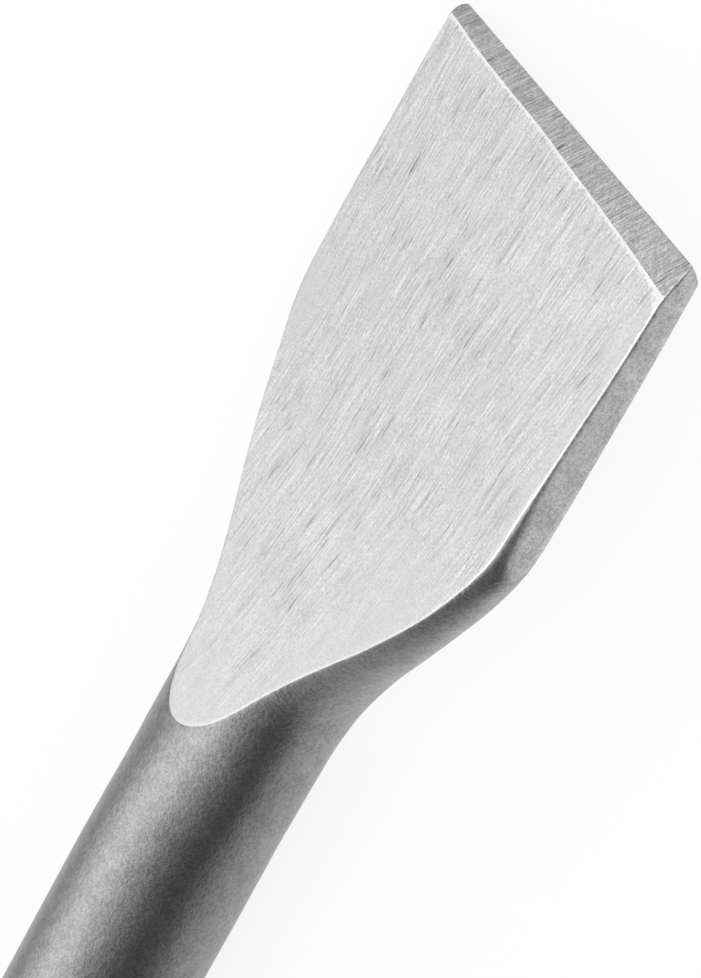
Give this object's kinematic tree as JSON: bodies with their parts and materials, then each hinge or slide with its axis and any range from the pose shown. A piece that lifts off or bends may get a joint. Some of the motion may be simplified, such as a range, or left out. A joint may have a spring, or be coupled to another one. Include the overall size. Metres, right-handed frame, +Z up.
{
  "type": "sds flat chisel",
  "caption": "Wide flat chisel for a rotary hammer: round shank with a grooved drive end, forged neck flaring into a thin ground blade with a bevelled cutting edge.",
  "frame": {"origin": "on the surface the chisel lies on, below the middle of its length", "axes": "+X along the shank towards the cutting edge, +Z up, +Y across the blade towards the side that rests on the surface"},
  "size_m": [0.25, 0.0394, 0.014],
  "materials": {
    "steel": "satin"
  },
  "bodies": {
    "root": {"chisel": "steel"}
  },
  "joints": []
}
